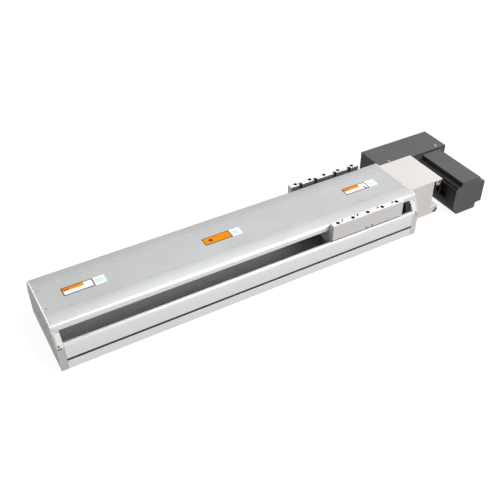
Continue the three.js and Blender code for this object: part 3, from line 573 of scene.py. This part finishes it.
# Labels on the cover: blank plates in the colours of the real ones, with no words or signs ---------

COVER_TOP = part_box("top_cover")[1].z / MM
LABEL_LENGTH = 57.3
LABEL_WIDTH = 21.4
BORDER = 1.9
SQUARE = 21.5
SQUARE_GAP = 0.6
PATCH = (3.5, 4.5, 5, 6)  # margins of the pale patch in its square: left, right, lower and upper
FOIL = 0.12               # thickness of each layer of a label
FOIL_GAP = 0.02
DISC_STEPS = 20
IDLER_LABEL = (-339.5, -9.6)
MIDDLE_LABEL = (-64.7, -8.4)
DRIVE_LABEL = (258.5, -4.8)
LABEL_FINISHES = [LABEL_BORDER, LABEL_WHITE, LABEL_ORANGE, LABEL_DEEP, LABEL_BROWN, LABEL_BLUE]
DARK, WHITE, ORANGE, DEEP, BROWN, BLUE = range(6)


def plate(bm, outline, layer, material):
    """A flat plate on an (x, y) outline in mm, one layer thick, standing on so many layers of label."""
    base = (COVER_TOP + FOIL_GAP + layer * FOIL) * MM
    lower = [bm.verts.new((x * MM, y * MM, base)) for x, y in outline]
    upper = [bm.verts.new((x * MM, y * MM, base + FOIL * MM * 0.9)) for x, y in outline]
    made = [bm.faces.new(upper), bm.faces.new(list(reversed(lower)))]
    for i in range(len(outline)):
        j = (i + 1) % len(outline)
        made.append(bm.faces.new((lower[i], lower[j], upper[j], upper[i])))
    for face in made:
        face.material_index = material


def tile(x0, x1, y0, y1):
    return [(x0, y0), (x1, y0), (x1, y1), (x0, y1)]


def disc(x, y, radius):
    angles = [2 * math.pi * i / DISC_STEPS for i in range(DISC_STEPS)]
    return [(x + radius * math.cos(angle), y + radius * math.sin(angle)) for angle in angles]


def label(name, x, y, edge, face, marks):
    """A bordered plate with its lower left corner at x and y, and a pale square beside it.

    The marks are (outline, material) pairs, measured from that corner.
    """
    bm = bmesh.new()
    x1 = x + LABEL_LENGTH
    y1 = y + LABEL_WIDTH
    plate(bm, tile(x, x1, y, y1), 0, edge)
    plate(bm, tile(x + BORDER, x1 - BORDER, y + BORDER, y1 - BORDER), 1, face)
    for level, (outline, material) in enumerate(marks):
        plate(bm, [(x + u, y + v) for u, v in outline], 2 + level, material)
    square = x1 + SQUARE_GAP
    plate(bm, tile(square, square + SQUARE, y, y + SQUARE), 0, WHITE)
    left, right, low, high = PATCH
    plate(bm, tile(square + left, square + SQUARE - right, y + low, y + SQUARE - high), 1, BLUE)
    piece(name, bm, LABEL_FINISHES, "frame")


ORANGE_HALF = [
    (tile(BORDER, 40, 11.6, LABEL_WIDTH - BORDER), ORANGE),
    (tile(0, 40, LABEL_WIDTH - BORDER, LABEL_WIDTH), BROWN),
    (tile(3, 13, 12.2, 15.4), DEEP),
]
SLANTED_BAR = [(46.2, 8.4), (49.2, 8.4), (51, 2.2), (48.4, 2.2)]
ROUND_DOT = disc(14.6, 10.6, 4.2)
label("idler_end_label", *IDLER_LABEL, DARK, WHITE, ORANGE_HALF)
label("middle_label", *MIDDLE_LABEL, BROWN, ORANGE, [(ROUND_DOT, BROWN)])
label("drive_end_label", *DRIVE_LABEL, DARK, WHITE, ORANGE_HALF + [(SLANTED_BAR, DARK)])

# Floor, light and camera ----------------------------------------------------------------------------

SKY_DARK = 0.0
SKY_BRIGHT = 0.6
SKY_TOWARDS = Vector((0.65, -0.35, 0.67)).normalized()
AIM = (0.1, 0, 0.05)
KEY_AT = (0.85, -0.95, 2.75)
KEY_SIZE = 1.4
KEY_POWER = 71
GLINT_AT = (0.95, -2.4, 0.45)      # low in front, and seen only as a sheen on the slanted shoulder
GLINT_SIZE = 0.8
GLINT_POWER = 20
SHEEN_AT = (0.5, 0.6, 2.6)         # overhead, and seen only as a sheen on the cover's falling edges
SHEEN_SIZE = 1.2
SHEEN_POWER = 5
FLOOR_GLOW = 0.92
FLOOR_HALF = 12
FLOOR_DROP = 0.001


def floor():
    """A pale floor that shows in the metal but throws no light up onto it."""
    bm = bmesh.new()
    bmesh.ops.create_grid(bm, x_segments=1, y_segments=1, size=FLOOR_HALF)
    mesh = bpy.data.meshes.new("floor")
    bm.to_mesh(mesh)
    bm.free()
    made = bpy.data.objects.new("floor", mesh)
    made.location.z = cad_box[0].z - FLOOR_DROP
    made.visible_diffuse = False
    bpy.context.scene.collection.objects.link(made)
    pale = finish("floor", (0.13, 0.13, 0.13), 0.8, grain=40, depth=0.01, contrast=0.01)
    shader = pale.node_tree.nodes["Principled BSDF"]
    shader.inputs["Emission Color"].default_value = (1, 1, 1, 1)
    shader.inputs["Emission Strength"].default_value = FLOOR_GLOW
    mesh.materials.append(pale)


def sky():
    """A studio surround, brightest towards the upper right and dark behind the idler end."""
    world = bpy.data.worlds.new("studio")
    bpy.context.scene.world = world
    world.use_nodes = True
    tree = world.node_tree
    facing = tree.nodes.new("ShaderNodeVectorMath")
    facing.operation = "DOT_PRODUCT"
    facing.inputs[1].default_value = SKY_TOWARDS
    strength = tree.nodes.new("ShaderNodeMapRange")
    strength.inputs["From Min"].default_value = -1
    strength.inputs["To Min"].default_value = SKY_DARK
    strength.inputs["To Max"].default_value = SKY_BRIGHT
    where = tree.nodes.new("ShaderNodeTexCoord").outputs["Generated"]
    tree.links.new(where, facing.inputs[0])
    tree.links.new(facing.outputs["Value"], strength.inputs["Value"])
    tree.links.new(strength.outputs["Result"], tree.nodes["Background"].inputs["Strength"])
    tree.nodes["Background"].inputs["Color"].default_value = (1, 1, 1, 1)


def softbox(name, place, size, power, sheen_only=False):
    light = bpy.data.lights.new(name, "AREA")
    light.shape = "SQUARE"
    light.size = size
    light.energy = power
    made = bpy.data.objects.new(name, light)
    made.location = place
    made.rotation_mode = "QUATERNION"
    made.rotation_quaternion = (Vector(AIM) - Vector(place)).to_track_quat("-Z", "Y")
    made.visible_diffuse = not sheen_only
    bpy.context.scene.collection.objects.link(made)


floor()
sky()
softbox("key", KEY_AT, KEY_SIZE, KEY_POWER)
softbox("glint", GLINT_AT, GLINT_SIZE, GLINT_POWER, sheen_only=True)
softbox("sheen", SHEEN_AT, SHEEN_SIZE, SHEEN_POWER, sheen_only=True)

CAMERA_AT = Vector((-0.5043, -0.9636, 0.9386))
CAMERA_AIM = Vector((0.0199, -0.0242, 0.06))
CAMERA_ROLL = math.radians(-0.555)
LENS = 51.91              # mm, on a sensor this wide
SENSOR_WIDTH = 36
eye = bpy.data.cameras.new("camera")
eye.lens = LENS
eye.sensor_width = SENSOR_WIDTH
camera = bpy.data.objects.new("camera", eye)
camera.location = CAMERA_AT
camera.rotation_mode = "QUATERNION"
level = (CAMERA_AIM - CAMERA_AT).to_track_quat("-Z", "Y")
camera.rotation_quaternion = level @ Quaternion((0, 0, 1), CAMERA_ROLL)
bpy.context.scene.collection.objects.link(camera)
bpy.context.scene.camera = camera
bpy.context.scene.view_settings.view_transform = "Standard"
